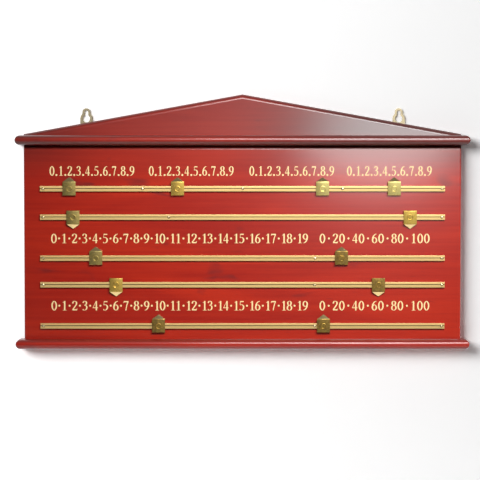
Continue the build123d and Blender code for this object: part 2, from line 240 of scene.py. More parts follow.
@dataclass(frozen=True)
class RedLacquer:
    """Glossy red lacquer over mahogany whose grain runs along X."""

    name: str = "red_lacquer"
    light: Colour = (0.47, 0.020, 0.004)
    deep: Colour = (0.34, 0.010, 0.003)
    knot: Colour = (0.16, 0.012, 0.012)
    # painted shade: the colour laid on the darkened corners, upward edges and undersides
    heart: Colour = (0.07, 0.012, 0.010)
    figure_waves: Colour = (2.2, 9.0, 14.0)
    streak_waves: Colour = (3.0, 90.0, 150.0)
    pore_waves: Colour = (55.0, 900.0, 1300.0)
    knot_waves: Colour = (9.0, 20.0, 30.0)
    ripple_waves: Colour = (140.0, 140.0, 140.0)
    knot_share: float = 0.75
    pore_share: float = 0.35
    edge_share: float = 0.6
    under_share: float = 0.75
    worn_share: float = 0.4
    roughness: float = 0.32
    coat_roughness: float = 0.19
    ripple_depth: float = 0.00006

    def make(self) -> bpy.types.Material:
        """Returns the material: streaked wood with painted shade towards the left, at the upper corners, on upward
        faces and under the upper moulding, under a clear coat that is thin on edges.
        """
        graph = ShaderGraph(self.name)
        figure = graph.noise(self.figure_waves, 3.0, 0.55, 0.6)
        streaks = graph.noise(self.streak_waves, 6.0, 0.65)
        ripple = graph.noise(self.ripple_waves, 2.0, 0.4)
        slope = graph.split(graph.node("ShaderNodeNewGeometry").outputs["Normal"])[2]
        wood = self._grain(graph, figure, streaks)
        # the wood gets painted shade here
        wood = self._heartwood(graph, wood, figure, slope)
        return graph.surface(
            Base_Color=wood, Roughness=self.roughness + streaks * 0.08,
            Normal=graph.relief(ripple + streaks * 0.25, self.ripple_depth),
            Coat_Weight=1.0 - slope.step(0.06, 0.25) * self.worn_share, Coat_Roughness=self.coat_roughness,
            Coat_IOR=1.5, Specular_IOR_Level=0.25,
        )

    def _grain(self, graph: ShaderGraph, figure: Wire, streaks: Wire) -> Wire:
        """The wood's own colour, with its faint knots and its pores."""
        knots = graph.noise(self.knot_waves, 2.0, 0.5, 0.8).step(0.63, 0.76)
        pores = graph.noise(self.pore_waves, 2.0, 0.5).step(0.6, 0.75)
        wood = graph.blend((figure * 0.6 + streaks * 0.4).step(0.36, 0.64), self.deep, self.light)
        wood = graph.blend(knots * self.knot_share, wood, self.knot)
        return graph.blend(pores * self.pore_share, wood, self.knot)

    def _heartwood(self, graph: ShaderGraph, wood: Wire, figure: Wire, slope: Wire) -> Wire:
        """Paints shade into the wood: darker towards the left and at the board's upper corners, on the rounded upper
        edges and on the upper moulding's underside.
        """
        x, _, z = graph.split(graph.place)
        across, up = x + figure * 0.1, z + figure * 0.03
        left, right = across.step(-0.14, -0.40), across.step(0.0, 0.3)
        high, top = up.step(-0.10, -0.04), z.step(-0.05, -0.02)
        # painted shade: darker along the top, more so to the right, and darker towards the left
        heart = high * (right * 0.42 + 0.2 + left * 0.3) + top * (right * 0.2 + 0.2) + left * 0.12
        # painted shade on faces turned upward, and on downward faces under the upper moulding
        edges = slope.step(0.30, 0.75) * self.edge_share
        under = slope.step(-0.05, -0.45) * z.step(-0.10, -0.05) * self.under_share
        return graph.blend(edges + under, graph.blend(heart, wood, self.heart), self.heart)


@dataclass(frozen=True)
class PlainWood:
    """Bare wood of the hidden joints."""

    name: str = "plain_wood"
    light: Colour = (0.64, 0.45, 0.27)
    deep: Colour = (0.46, 0.29, 0.15)
    grain_waves: Colour = (6.0, 220.0, 220.0)

    def make(self) -> bpy.types.Material:
        """Returns the material, with grain along X."""
        graph = ShaderGraph(self.name)
        grain = graph.noise(self.grain_waves, 6.0, 0.6)
        colour = graph.blend(grain.step(0.3, 0.7), self.deep, self.light)
        return graph.surface(Base_Color=colour, Roughness=0.6 + grain * 0.2, Normal=graph.relief(grain, 0.0001))


@dataclass(frozen=True)
class Brass:
    """Brass, from bright and drawn to dull, tarnished and scratched."""

    name: str
    bright: Colour
    tarnish: Colour
    tarnish_share: float = 0.2
    roughness: float = 0.24
    scratches: float = 0.3
    patch_waves: float = 90.0
    line_waves: Colour = (30.0, 2600.0, 2600.0)
    fine_waves: float = 1500.0

    def make(self) -> bpy.types.Material:
        """Returns the material: patches of tarnish, fine drawn lines and scratches."""
        graph = ShaderGraph(self.name)
        patches = graph.noise((self.patch_waves,) * 3, 5.0, 0.62)
        lines = graph.noise(self.line_waves, 3.0, 0.6)
        fine = graph.noise((self.fine_waves,) * 3, 2.0, 0.6)
        dull = (patches * 0.75 + lines * 0.25).step(0.62 - self.tarnish_share * 0.5, 0.78 - self.tarnish_share * 0.4)
        colour = graph.blend(dull, self.bright, self.tarnish)
        colour = graph.blend(lines.step(0.60, 0.72) * self.scratches * 0.5, colour, self.tarnish)
        rough = dull * 0.16 + lines * 0.10 * (1.0 + self.scratches) + (self.roughness - 0.05)
        height = lines * self.scratches + fine * 0.15
        return graph.surface(Base_Color=colour, Metallic=1.0, Roughness=rough, Normal=graph.relief(height, 0.00003))


@dataclass(frozen=True)
class NumeralPaint:
    """Cream paint of the numerals, a little worn."""

    name: str = "numeral_paint"
    fresh: Colour = (0.97, 0.76, 0.38)
    worn: Colour = (0.80, 0.55, 0.22)
    mottle_waves: Colour = (260.0, 260.0, 260.0)

    def make(self) -> bpy.types.Material:
        """Returns the material, slightly mottled."""
        graph = ShaderGraph(self.name)
        mottle = graph.noise(self.mottle_waves, 4.0, 0.6)
        colour = graph.blend(mottle.step(0.5, 0.8) * 0.5, self.fresh, self.worn)
        return graph.surface(
            Base_Color=colour, Roughness=0.35 + mottle * 0.15, Normal=graph.relief(mottle, 0.00003),
            Coat_Weight=0.4, Coat_Roughness=0.12,
        )


def at(x: float, depth: float, z: float) -> Vector:
    """A point in metres from millimetres to the right, in front of the wall and up."""
    return Vector((x * MM, -depth * MM, z * MM))


def arc(centre: Point2, radius: float, start: float, end: float, steps: int) -> list[Point2]:
    """Points along an arc.

    Args:
        centre: The arc's centre.
        radius: Its radius.
        start: First angle in degrees.
        end: Last angle in degrees.
        steps: Number of chords.

    Returns:
        The points, both ends included.
    """
    angles = [math.radians(start + (end - start) * i / steps) for i in range(steps + 1)]
    return [(centre[0] + radius * math.cos(angle), centre[1] + radius * math.sin(angle)) for angle in angles]


def rounded(points: Sequence[Point2], radii: Sequence[float], steps: int = 6) -> list[Point2]:
    """An open line with its inner corners rounded.

    Args:
        points: The corners in order, both ends included.
        radii: One radius for each inner corner.
        steps: Chords in each round.

    Returns:
        The points of the rounded line.
    """
    line = [points[0]]
    for before, corner, after, radius in zip(points, points[1:], points[2:], radii):
        here = Vector(corner)
        back, ahead = (Vector(before) - here).normalized(), (Vector(after) - here).normalized()
        half = back.angle(ahead) / 2
        centre = here + (back + ahead).normalized() * (radius / math.sin(half))
        first = here + back * (radius / math.tan(half))
        last = here + ahead * (radius / math.tan(half))
        for i in range(steps + 1):
            share = i / steps
            spoke = ((first - centre).lerp(last - centre, share)).normalized() * radius
            line.append(tuple(centre + spoke))
    return [*line, points[-1]]


def skin(name: str, rings: Sequence[Sequence[Vector]], ease: float = 0.0) -> bpy.types.Mesh:
    """A closed mesh through rings of points, capped at both ends.

    Args:
        name: The mesh's name.
        rings: Rings of equally many points in metres.
        ease: Width in millimetres by which sharp edges are rounded off.

    Returns:
        The mesh, faces outward.
    """
    work = bmesh.new()
    loops = [[work.verts.new(point) for point in ring] for ring in rings]
    for low, high in zip(loops, loops[1:]):
        for i in range(len(low)):
            work.faces.new((low[i - 1], low[i], high[i], high[i - 1]))
    work.faces.new(loops[0])
    work.faces.new(loops[-1])
    return closed(name, work, ease)


def closed(name: str, work: bmesh.types.BMesh, ease: float = 0.0) -> bpy.types.Mesh:
    """Merges, eases, turns outward and smooths a working mesh.

    Args:
        name: The mesh's name.
        work: The working mesh, which is freed.
        ease: Width in millimetres by which sharp edges are rounded off.

    Returns:
        The finished mesh.
    """
    bmesh.ops.remove_doubles(work, verts=work.verts, dist=SAME_PLACE)
    bmesh.ops.dissolve_degenerate(work, edges=work.edges, dist=SAME_PLACE)
    bmesh.ops.recalc_face_normals(work, faces=work.faces)
    if ease:
        sharp = [edge for edge in work.edges if edge.is_manifold and edge.calc_face_angle() > SMOOTH_ANGLE]
        bmesh.ops.bevel(work, geom=sharp, offset=ease * MM, segments=2, profile=0.5, affect="EDGES",
                        clamp_overlap=True)
        bmesh.ops.recalc_face_normals(work, faces=work.faces)
    mesh = bpy.data.meshes.new(name)
    work.to_mesh(mesh)
    work.free()
    return smoothed(mesh)


def smoothed(mesh: bpy.types.Mesh) -> bpy.types.Mesh:
    """Shades the mesh smooth, apart from its sharp edges."""
    mesh.shade_smooth()
    mesh.set_sharp_from_angle(angle=SMOOTH_ANGLE)
    return mesh


def points_mesh(name: str, points: Iterable[Vector]) -> bpy.types.Mesh:
    """A mesh of loose points."""
    mesh = bpy.data.meshes.new(name)
    mesh.from_pydata(list(points), [], [])
    return mesh


def add_numbers(mesh: bpy.types.Mesh, name: str, kind: str, values: Sequence[float]) -> None:
    """Writes one number for each point of the mesh as a named attribute."""
    mesh.attributes.new(name, kind, "POINT").data.foreach_set("value", list(values))


def places_mesh(places: Sequence[Vector], turns: Sequence[float]) -> bpy.types.Mesh:
    """Points for turned pieces, each with its piece's turn in degrees."""
    mesh = points_mesh("places", places)
    add_numbers(mesh, "turn", "FLOAT", [math.radians(turn) for turn in turns])
    return mesh


def hidden(name: str, mesh: bpy.types.Mesh) -> bpy.types.Object:
    """An object that no scene shows, for a geometry tree to read."""
    return bpy.data.objects.new(name, mesh)


def profile(name: str, line: Iterable[Point2]) -> bpy.types.Object:
    """A hidden object with half a section for turning: radius and height of each point."""
    return hidden(name, points_mesh(name, [at(radius, 0.0, height) for radius, height in line]))


def level_of(node: str) -> float:
    """The level of a node's middle, in millimetres."""
    low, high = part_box(node)
    return (low.z + high.z) / 2 / MM


def show(name: str, mesh: bpy.types.Mesh, body: str, nodes: Sequence[str] = ()) -> bpy.types.Object:
    """Makes a finished mesh a piece of the object.

    Args:
        name: The piece's name.
        mesh: Its mesh, in place and with its material.
        body: The CAD body that it rides on.
        nodes: The CAD nodes that it stands for.

    Returns:
        The piece.
    """
    piece = bpy.data.objects.new(name, mesh)
    bpy.context.scene.collection.objects.link(piece)
    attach(piece, body)
    if nodes:
        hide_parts(*nodes)
    log.info("%s: %d faces on %s", name, len(mesh.polygons), body)
    return piece


def painted(mesh: bpy.types.Mesh, material: bpy.types.Material) -> bpy.types.Mesh:
    """Gives the whole mesh one material."""
    mesh.materials.clear()
    mesh.materials.append(material)
    return mesh


def repaint(mesh: bpy.types.Mesh, material: bpy.types.Material,
            chosen: Callable[[bpy.types.MeshPolygon], bool]) -> None:
    """Gives the chosen faces a further material."""
    mesh.materials.append(material)
    for face in mesh.polygons:
        if chosen(face):
            face.material_index = len(mesh.materials) - 1


class Kind(Enum):
    """Socket types of a geometry tree's inputs."""

    GEOMETRY = "NodeSocketGeometry"
    OBJECT = "NodeSocketObject"
    COLLECTION = "NodeSocketCollection"
    NUMBER = "NodeSocketFloat"
    COUNT = "NodeSocketInt"
    MATERIAL = "NodeSocketMaterial"


class GeometryGraph(Graph):
    """A Geometry Nodes tree with named inputs."""

    def __init__(self, name: str, **inputs: Kind) -> None:
        """Makes the tree, its inputs in order after the geometry, and one geometry output."""
        tree = bpy.data.node_groups.new(name, "GeometryNodeTree")
        super().__init__(tree)
        tree.interface.new_socket("Geometry", in_out="INPUT", socket_type=Kind.GEOMETRY.value)
        for label, kind in inputs.items():
            tree.interface.new_socket(label, in_out="INPUT", socket_type=kind.value)
        tree.interface.new_socket("Geometry", in_out="OUTPUT", socket_type=Kind.GEOMETRY.value)
        self.start = self.node("NodeGroupInput")

    def given(self, label: str) -> Wire:
        """A named input."""
        return Wire(self, self.start.outputs[label])

    def end(self, geometry: object) -> None:
        """Sends the geometry out of the tree."""
        self.node("NodeGroupOutput", {}, {0: geometry})

    def read(self, label: str) -> Wire:
        """The geometry of an object input."""
        return self.wire("GeometryNodeObjectInfo", {}, {"Object": self.given(label)}, "Geometry")

    def attribute(self, name: str, kind: str = "FLOAT") -> Wire:
        """A named number that the points carry."""
        return self.wire("GeometryNodeInputNamedAttribute", {"data_type": kind}, {"Name": name})

    def turned(self, line: Wire, sides: Wire) -> Wire:
        """Turns half a section about the Y axis.

        Args:
            line: Points whose X is the radius and Z the height towards the front, from axis to axis.
            sides: Number of sides.

        Returns:
            The closed turned mesh.
        """
        count = self.wire("GeometryNodeAttributeDomainSize", {}, {0: line}, "Point Count")
        grid = self.wire("GeometryNodeMeshGrid", {}, {"Vertices X": sides + 1.0, "Vertices Y": count})
        index = self.wire("GeometryNodeInputIndex")
        along = self.maths("MODULO", index, count)
        angle = self.maths("FLOOR", (index + 0.5) / count) * math.tau / sides
        place = self.wire("GeometryNodeInputPosition")
        sampled = self.wire("GeometryNodeSampleIndex", {"data_type": "FLOAT_VECTOR"},
                            {"Geometry": line, "Value": place, "Index": along})
        radius, _, height = self.split(sampled)
        x, z = radius * self.maths("COSINE", angle), radius * self.maths("SINE", angle)
        spot = self.joined(x, height * -1.0, z)
        shaped = self.wire("GeometryNodeSetPosition", {}, {"Geometry": grid, "Position": spot})
        return self.wire("GeometryNodeMergeByDistance", {}, {"Geometry": shaped, "Distance": SAME_PLACE})

    def cut(self, solid: Wire, cutters: Wire) -> Wire:
        """The solid less the cutters."""
        settings = {"operation": "DIFFERENCE", "solver": "EXACT"}
        return self.wire("GeometryNodeMeshBoolean", settings, {0: solid, 1: cutters})

    def finish(self, geometry: Wire) -> None:
        """Realizes instances, sets the material and ends the tree."""
        real = self.wire("GeometryNodeRealizeInstances", {}, {0: geometry})
        self.end(self.wire("GeometryNodeSetMaterial", {}, {"Geometry": real, "Material": self.given("Finish")}))

    def grow(self, name: str, base: bpy.types.Mesh, **values: object) -> bpy.types.Mesh:
        """Runs the tree on a mesh.

        Args:
            name: Name of the result.
            base: The mesh that goes in.
            **values: The tree's inputs, underscores for spaces.

        Returns:
            The result as a plain mesh.
        """
        grower = bpy.data.objects.new(name, base)
        bpy.context.scene.collection.objects.link(grower)
        modifier = grower.modifiers.new(name, "NODES")
        modifier.node_group = self.tree
        for item in self.tree.interface.items_tree:
            label = item.name.replace(" ", "_")
            if item.in_out == "INPUT" and label in values:
                modifier[item.identifier] = values[label]
        bpy.context.view_layer.update()
        shaped = grower.evaluated_get(bpy.context.evaluated_depsgraph_get())
        mesh = bpy.data.meshes.new_from_object(shaped)
        grower.modifiers.remove(modifier)
        bpy.data.objects.remove(grower)
        mesh.name = name
        return mesh


class Trees:
    """The geometry trees that the pieces share."""

    def __init__(self) -> None:
        """Builds the three trees."""
        self.turned = self._turned_pieces()
        self.drilled = self._drilled_bar()
        self.lettered = self._lettered_line()

    @staticmethod
    def _turned_pieces() -> GeometryGraph:
        """Slotted or plain turned pieces, one at each point, turned by the attribute "turn"."""
        graph = GeometryGraph(
            "turned_pieces", Profile=Kind.OBJECT, Sides=Kind.COUNT, Slot_Width=Kind.NUMBER, Slot_Depth=Kind.NUMBER,
            Slot_Level=Kind.NUMBER, Finish=Kind.MATERIAL,
        )
        piece = graph.turned(graph.read("Profile"), graph.given("Sides"))
        width, depth = graph.given("Slot_Width"), graph.given("Slot_Depth")
        cube = graph.wire("GeometryNodeMeshCube", {}, {"Size": graph.joined(SLOT_REACH, depth * 2.0, width)})
        level = graph.joined(y=graph.given("Slot_Level") * -1.0)
        cutter = graph.wire("GeometryNodeTransform", {}, {"Geometry": cube, "Translation": level})
        slotted = graph.cut(piece, cutter)
        has_slot = graph.maths("GREATER_THAN", width, 0.0)
        chosen = graph.wire("GeometryNodeSwitch", {"input_type": "GEOMETRY"}, {0: has_slot, 1: piece, 2: slotted})
        rotation = graph.wire("FunctionNodeEulerToRotation", {}, {0: graph.joined(y=graph.attribute("turn"))})
        sockets = {"Points": graph.given("Geometry"), "Instance": chosen, "Rotation": rotation}
        graph.finish(graph.wire("GeometryNodeInstanceOnPoints", {}, sockets))
        return graph

    @staticmethod
    def _drilled_bar() -> GeometryGraph:
        """A bar less one turned cutter at each point of another object."""
        graph = GeometryGraph("drilled_bar", Places=Kind.OBJECT, Profile=Kind.OBJECT, Sides=Kind.COUNT,
                              Finish=Kind.MATERIAL)
        cutter = graph.turned(graph.read("Profile"), graph.given("Sides"))
        cutters = graph.wire("GeometryNodeInstanceOnPoints", {}, {"Points": graph.read("Places"), "Instance": cutter})
        real = graph.wire("GeometryNodeRealizeInstances", {}, {0: cutters})
        graph.finish(graph.cut(graph.given("Geometry"), real))
        return graph

    @staticmethod
    def _lettered_line() -> GeometryGraph:
        """A glyph of a collection at each point, chosen by "glyph", its width scaled by "breadth"."""
        graph = GeometryGraph("lettered_line", Glyphs=Kind.COLLECTION, Height=Kind.NUMBER, Finish=Kind.MATERIAL)
        sockets = {"Collection": graph.given("Glyphs"), "Separate Children": True, "Reset Children": True}
        glyphs = graph.wire("GeometryNodeCollectionInfo", {}, sockets)
        height = graph.given("Height")
        scale = graph.joined(height * graph.attribute("breadth"), 1.0, height)
        sockets = {"Points": graph.given("Geometry"), "Instance": glyphs, "Pick Instance": True,
                   "Instance Index": graph.attribute("glyph", "INT"), "Scale": scale}
        graph.finish(graph.wire("GeometryNodeInstanceOnPoints", {}, sockets))
        return graph


@dataclass
class Boards:
    """The lacquered boards: panel, two mouldings and the pediment."""

    lacquer: bpy.types.Material
    panel_radius: float = 3.0
    panel_round: float = 8.5
    corner_radius: float = 2.5
    slope_radius: float = 8.5
    slope_end: float = 2.6
    steps: int = 12

    def build(self) -> None:
        """Builds the four boards in their CAD nodes' places."""
        boards = (
            ("panel_board", "main_panel", self._panel()),
            ("top_bullnose", "top_moulding", self._moulding("top_moulding")),
            ("bottom_bullnose", "bottom_moulding", self._moulding("bottom_moulding")),
            ("pediment_board", "pediment", self._pediment()),
        )
        for name, node, mesh in boards:
            show(name, painted(mesh, self.lacquer), BOARD_BODY, [node])

    @staticmethod
    def _limits(node: str) -> tuple[float, float, float, float]:
        """Half width, depth, bottom and top of a node in millimetres."""
        low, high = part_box(node)
        return high.x / MM, -low.y / MM, low.z / MM, high.z / MM

    def _plan(self, half: float, depth: float, radius: float, z: float) -> list[Vector]:
        """A board's outline seen from above, its two front corners rounded."""
        corners = arc((half - radius, depth - radius), radius, 0, 90, self.steps // 2)
        right = [(half, 0.0), *corners]
        return [at(x, y, z) for x, y in right] + [at(-x, y, z) for x, y in reversed(right)]

    def _panel(self) -> bpy.types.Mesh:
        """The flat board, its end corners rounded, and its upper front edge under the moulding."""
        half, depth, bottom, top = self._limits("main_panel")
        bend = arc((depth - self.panel_round, top - self.panel_round), self.panel_round, 0, 90, self.steps)
        return skin("panel_board", [self._plan(half, y, self.panel_radius, z) for y, z in [(depth, bottom), *bend]])

    def _moulding(self, node: str) -> bpy.types.Mesh:
        """A board with a full bullnose in front and at both ends."""
        half, depth, bottom, top = self._limits(node)
        radius, middle = (top - bottom) / 2, (bottom + top) / 2
        rings = []
        for reach, height in arc((0.0, 0.0), radius, -90, 90, 2 * self.steps):
            inset = radius - reach
            rings.append(self._plan(half - inset, depth - inset, self.corner_radius, middle + height))
        return skin(node, rings)

    def _pediment(self) -> bpy.types.Mesh:
        """The triangular board, its front edge rounded along both slopes."""
        half, depth, bottom, top = self._limits("pediment")
        rise, end = top - bottom, self.slope_end
        slope = math.atan2(rise - end, half)
        rings = [self._gable(half, rise, end, 0.0, bottom)]
        for inset, forward in arc((self.slope_radius, 0.0), self.slope_radius, 180, 90, self.steps):
            level = depth - self.slope_radius + forward
            rings.append(self._gable(half, rise, end, inset / math.cos(slope), bottom, level))
        return skin("pediment_board", rings)

    @staticmethod
    def _gable(half: float, rise: float, end: float, drop: float, bottom: float, depth: float = 0.0) -> list[Vector]:
        """The pediment's outline with its slopes lowered by a drop."""
        tilt = (rise - end) / half
        side = max(end - drop, 0.0)
        reach = half if side else (rise - drop) / tilt
        outline = [(-reach, 0.0), (-reach, side), (0.0, rise - drop), (reach, side), (reach, 0.0)]
        return [at(x, depth, bottom + z) for x, z in outline]


@dataclass
class Rails:
    """The five drawn brass rails and the slotted screws that hold them."""

    trees: Trees
    rail_finish: bpy.types.Material
    recess_finish: bpy.types.Material
    screw_finish: bpy.types.Material
    standoff: float = 2.2
    half_stem: float = 3.7
    crown: float = 4.0
    crown_fall: float = 0.05
    bevel: float = 0.4
    bevel_end: float = 20.0
    groove_rise: float = 0.5
    groove_half: float = 0.6
    groove_lift: float = 0.35
    groove_radius: float = 0.75
    groove_spread: float = 35.0
    end_inset: float = 5.15
    inner_screws: tuple = ((-176.0, 0.0, 176.2), (-130.1,), (127.7,), (127.2,), (127.2,))
    head_radius: float = 3.95
    head_rim: float = 2.65
    head_top: float = 4.75
    shank_radius: float = 2.0
    shank_end: float = 8.0
    point_radius: float = 0.4
    point_end: float = 12.0
    hole_gap: float = 0.2
    seat_gap: float = 0.05
    cutter_excess: float = 1.0
    slot_width: float = 1.1
    slot_depth: float = 1.3
    slot_turn: float = 67.0
    recess_depth: float = 0.4
    recess_reach: float = 5.0
    recess_slope: float = 0.5
    groove_slope: float = 0.15
    crown_margin: float = 0.05
    dark_slope: float = 0.91
    sides: int = 40

    def build(self) -> None:
        """Builds each rail with its countersinks, and its screws."""
        screw = profile("screw_profile", self._screw_line())
        sink = profile("sink_profile", self._sink_line())
        for row, inner in enumerate(self.inner_screws):
            node = f"rail_{row + 1}"
            low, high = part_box(node)
            half, rise, level = high.x / MM, (high.z - low.z) / 2 / MM, level_of(node)
            across = [self.end_inset - half, *inner, half - self.end_inset]
            places = places_mesh([at(x, PANEL_FACE, level) for x in across],
                                 [self.slot_turn * (row + i) for i in range(len(across))])
            rail = self.trees.drilled.grow(
                f"drawn_{node}", self._bar(node, half, level, rise), Places=hidden("places", places), Profile=sink,
                Sides=self.sides, Finish=self.rail_finish,
            )
            # painted shade: countersink walls and groove faces get a near-black finish
            repaint(rail, self.recess_finish, lambda face: self._is_recess(face, level))
            show(f"drawn_{node}", smoothed(rail), BOARD_BODY, [node])
            screws = self.trees.turned.grow(
                f"slotted_screws_{row + 1}", places, Profile=screw, Sides=self.sides,
                Slot_Width=self.slot_width * MM, Slot_Depth=self.slot_depth * MM, Slot_Level=self.head_top * MM,
                Finish=self.screw_finish,
            )
            # painted shade on the steep sides of the screw heads
            repaint(screws, self.recess_finish, lambda face: abs(face.normal.y) < self.dark_slope)
            show(f"slotted_screws_{row + 1}", smoothed(screws), BOARD_BODY, [f"{node}_screws"])

    def _is_recess(self, face: bpy.types.MeshPolygon, level: float) -> bool:
        """Whether a face of a rail lies in a countersink or in the groove, where shade is painted."""
        depth, rise = -face.center.y / MM, face.center.z / MM - level
        lowest = PANEL_FACE + self.head_rim - self.recess_depth
        highest = PANEL_FACE + self.crown - self.crown_fall - self.crown_margin
        sloping = abs(face.normal.y) > self.recess_slope
        countersunk = lowest < depth < highest and sloping and abs(rise) < self.recess_reach
        grooved = abs(rise - self.groove_rise) < self.groove_half and abs(face.normal.z) > self.groove_slope
        return countersunk or grooved

    def _bar(self, name: str, half: float, level: float, rise: float) -> bpy.types.Mesh:
        """The rail's T section, drawn along X: a grooved crown between two eased edges.

        Args:
            name: The mesh's name.
            half: Half the rail's length.
            level: The level of its middle.
            rise: Half its height.

        Returns:
            The bar, not yet drilled.
        """
        edge, corner = self.crown - self.crown_fall, rise - self.bevel
        radius = (corner**2 + self.crown_fall**2) / (2 * self.crown_fall)
        turns = [math.degrees(math.asin(z / radius))
                 for z in (corner, self.groove_rise + self.groove_half, self.groove_rise - self.groove_half)]
        middle = (self.crown - radius, 0.0)
        groove = arc((self.crown + self.groove_lift, self.groove_rise), self.groove_radius,
                     180 - self.groove_spread, 180 + self.groove_spread, 6)
        side = [(0.0, self.half_stem), (self.standoff, self.half_stem), (self.standoff, rise)]
        side += arc((edge - self.bevel, corner), self.bevel, 90, self.bevel_end, 4)
        section = [*side, *arc(middle, radius, turns[0], turns[1], 6), *groove,
                   *arc(middle, radius, turns[2], -turns[0], 6), *((height, -z) for height, z in reversed(side))]
        rings = [[at(x, PANEL_FACE + height, level + z) for height, z in section] for x in (-half, half)]
        return skin(name, rings)

    def _screw_line(self) -> list[Point2]:
        """Half the section of a screw: domed head, countersunk seat, shank and point."""
        rise = self.head_top - self.head_rim
        sphere = (self.head_radius**2 + rise**2) / (2 * rise)
        lowest = math.degrees(math.acos(self.head_radius / sphere))
        dome = arc((0.0, self.head_top - sphere), sphere, 90, lowest, 10)
        seat = self.head_rim - (self.head_radius - self.shank_radius)
        return [*dome, (self.shank_radius, seat), (self.shank_radius, -self.shank_end),
                (self.point_radius, -self.point_end), (0.0, -self.point_end)]

    def _sink_line(self) -> list[Point2]:
        """Half the section of the cutter for a countersink and its shank hole."""
        hole, past = self.shank_radius + self.hole_gap, self.cutter_excess
        rim = self.head_radius + self.crown - self.head_rim + self.seat_gap
        return [(0.0, self.crown + past), (rim + past, self.crown + past), (hole, self.crown - (rim - hole)),
                (hole, -past), (0.0, -past)]


@dataclass(frozen=True)
class Patina:
    """How one pointer has aged."""

    bright: Colour
    tarnish: Colour
    share: float
    roughness: float = 0.36
    scratches: float = 0.6
    patch_waves: float = 160.0
    rivet_shine: float = 1.3
    brightest: float = 0.95

    def plate_finish(self, name: str) -> bpy.types.Material:
        """The finish of the named pointer's plate."""
        return Brass(f"pointer_brass_{name}", self.bright, self.tarnish, self.share, self.roughness, self.scratches,
                     self.patch_waves).make()

    def rivet_finish(self, name: str) -> bpy.types.Material:
        """The finish of the named pointer's rivet, which is rubbed brighter."""
        bright = tuple(min(self.rivet_shine * part, self.brightest) for part in self.bright)
        return Brass(f"rivet_brass_{name}", bright, self.tarnish, 0.3, 0.32, 0.2, self.patch_waves).make()


OLIVE = Patina((0.42, 0.32, 0.10), (0.24, 0.19, 0.07), 0.45)
GOLD = Patina((0.66, 0.45, 0.10), (0.38, 0.25, 0.06), 0.35)
PALE = Patina((0.72, 0.60, 0.22), (0.45, 0.37, 0.12), 0.25)
BROWN = Patina((0.40, 0.26, 0.06), (0.20, 0.13, 0.04), 0.5)


